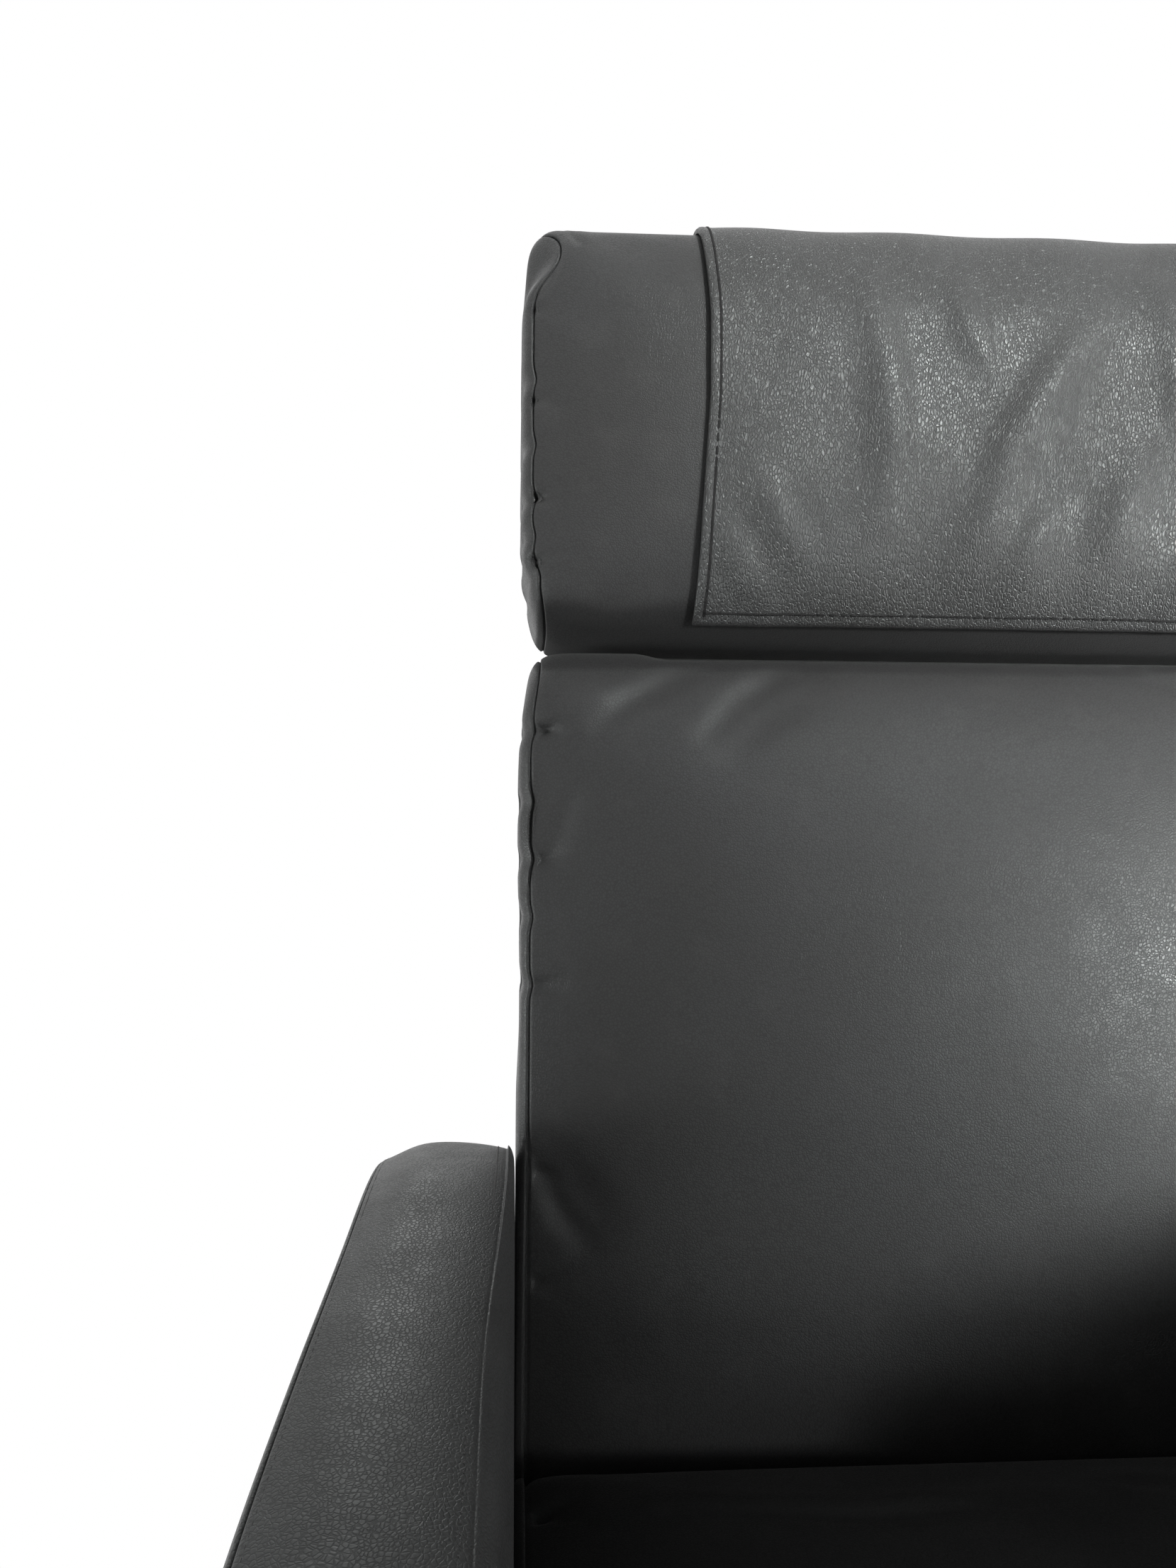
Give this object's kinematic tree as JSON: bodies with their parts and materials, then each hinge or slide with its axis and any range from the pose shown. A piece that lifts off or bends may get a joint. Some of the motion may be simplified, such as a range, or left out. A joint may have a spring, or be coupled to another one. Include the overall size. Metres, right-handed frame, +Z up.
{
  "type": "zero gravity recliner",
  "caption": "Upholstered recliner whose tilting seat opens the back and lifts the legrest through links, with a tilting head cushion under a leather flap.",
  "frame": {"origin": "on the floor, under the middle of the chair's box", "axes": "+Z up, the chair faces -Y, +X is the sitter's left"},
  "size_m": [0.754, 0.8487, 1.1146],
  "materials": {
    "frame_paint": "satin black powder coat",
    "plated_steel": "zinc plated",
    "plywood": "raw plywood and timber",
    "charcoal_leather": "satin pebbled charcoal grey",
    "flap_leather": "satin pebbled charcoal grey, thinner hide",
    "seat_leather": "satin pebbled charcoal grey",
    "webbing": "woven elastic webbing",
    "black_plastic": "fine moulded texture",
    "nylon": "natural nylon",
    "cable_sleeve": "smooth black sleeve",
    "foot_plastic": "moulded black",
    "chrome_rod": "ground and plated",
    "gas_paint": "smooth black"
  },
  "bodies": {
    "base": {"base_rails": "frame_paint", "base_cross_tubes": "frame_paint", "base_side_plates": "frame_paint", "arm_spacers": "frame_paint", "arm_bolts": "plated_steel", "arm_left_core": "plywood", "arm_right_core": "plywood", "arm_left_pad": "charcoal_leather", "arm_right_pad": "charcoal_leather", "feet": "foot_plastic", "tilt_pins": "plated_steel", "link_base_pins": "plated_steel", "handle_cup": "black_plastic", "handle_pin": "plated_steel", "release_cable": "cable_sleeve", "cable_stop": "plated_steel", "cable_clips": "black_plastic", "gas_base_lugs": "frame_paint", "gas_base_pin": "plated_steel"},
    "seat": {"tilt_bushes": "nylon", "seat_side_plates": "frame_paint", "seat_cross_tubes": "frame_paint", "seat_deck_rails": "plywood", "seat_webbing": "webbing", "seat_cushion": "seat_leather", "gas_seat_bracket": "frame_paint", "gas_seat_pin": "plated_steel", "back_pivot_pins": "plated_steel", "leg_pivot_pins": "plated_steel"},
    "back": {"back_arms": "frame_paint", "back_crank_pins": "plated_steel", "back_cross_tube": "frame_paint", "back_frame": "frame_paint", "back_webbing": "webbing", "back_cushion": "charcoal_leather", "back_cover": "charcoal_leather", "head_hinge_lower": "plated_steel", "head_hinge_pins": "plated_steel"},
    "head": {"head_hinge_upper": "plated_steel", "head_board": "plywood", "head_cushion": "charcoal_leather", "head_cover": "charcoal_leather", "head_flap": "flap_leather", "flap_weight": "flap_leather"},
    "legrest": {"legrest_ears": "frame_paint", "legrest_bar": "frame_paint", "legrest_board": "plywood", "legrest_pad": "charcoal_leather", "leg_crank_pins": "plated_steel"},
    "leg_links": {"leg_links": "plated_steel"},
    "back_links": {"back_links": "plated_steel"},
    "gas_rod": {"gas_spring_rod": "chrome_rod", "gas_release_head": "black_plastic"},
    "gas_cylinder": {"gas_spring_cylinder": "gas_paint"},
    "handle": {"release_handle": "black_plastic"}
  },
  "joints": [
    {"name": "recline", "type": "hinge", "parent": "base", "child": "seat", "pos_m": [0, -0.08, 0.23], "axis": [-1, 0, 0], "range_deg": [0, 20]},
    {"name": "back_opening", "type": "hinge", "parent": "seat", "child": "back", "pos_m": [0, 0.12564, 0.29478], "axis": [-1, 0, 0], "range_deg": [0, 15]},
    {"name": "legrest_lift", "type": "hinge", "parent": "seat", "child": "legrest", "pos_m": [0, -0.38372, 0.3077], "axis": [-1, 0, 0], "range_deg": [0, 50]},
    {"name": "leg_link_swing", "type": "hinge", "parent": "base", "child": "leg_links", "pos_m": [0, -0.02, 0.176], "axis": [-1, 0, 0], "range_deg": [0, 10.5]},
    {"name": "back_link_swing", "type": "hinge", "parent": "base", "child": "back_links", "pos_m": [0, 0.18, 0.215], "axis": [-1, 0, 0], "range_deg": [-10.6, 0]},
    {"name": "gas_spring_swing", "type": "hinge", "parent": "base", "child": "gas_rod", "pos_m": [0, -0.24, 0.122], "axis": [-1, 0, 0], "range_deg": [0, 15.5]},
    {"name": "gas_spring_travel", "type": "slide", "parent": "gas_rod", "child": "gas_cylinder", "axis": [0, -0.4167, 0.909], "range_m": [0, 0.0655]},
    {"name": "headrest_tilt", "type": "hinge", "parent": "back", "child": "head", "pos_m": [0, 0.28875, 0.89191], "axis": [1, 0, 0], "range_deg": [0, 25]},
    {"name": "handle_pull", "type": "hinge", "parent": "base", "child": "handle", "pos_m": [-0.367, -0.15, 0.4195], "axis": [0, 1, 0], "range_deg": [0, 30], "stiffness_Nm_per_rad": 0.6, "springref_deg": -14.32}
  ],
  "couplings": [
    {"joint": "back_opening", "follows": "recline", "ratio": 0.75},
    {"joint": "legrest_lift", "follows": "recline", "ratio": 2.5},
    {"joint": "leg_link_swing", "follows": "recline", "ratio": 0.5085},
    {"joint": "back_link_swing", "follows": "recline", "ratio": -0.514},
    {"joint": "gas_spring_swing", "follows": "recline", "ratio": 0.7575},
    {"joint": "gas_spring_travel", "follows": "recline", "m_per_rad": 0.18564}
  ]
}
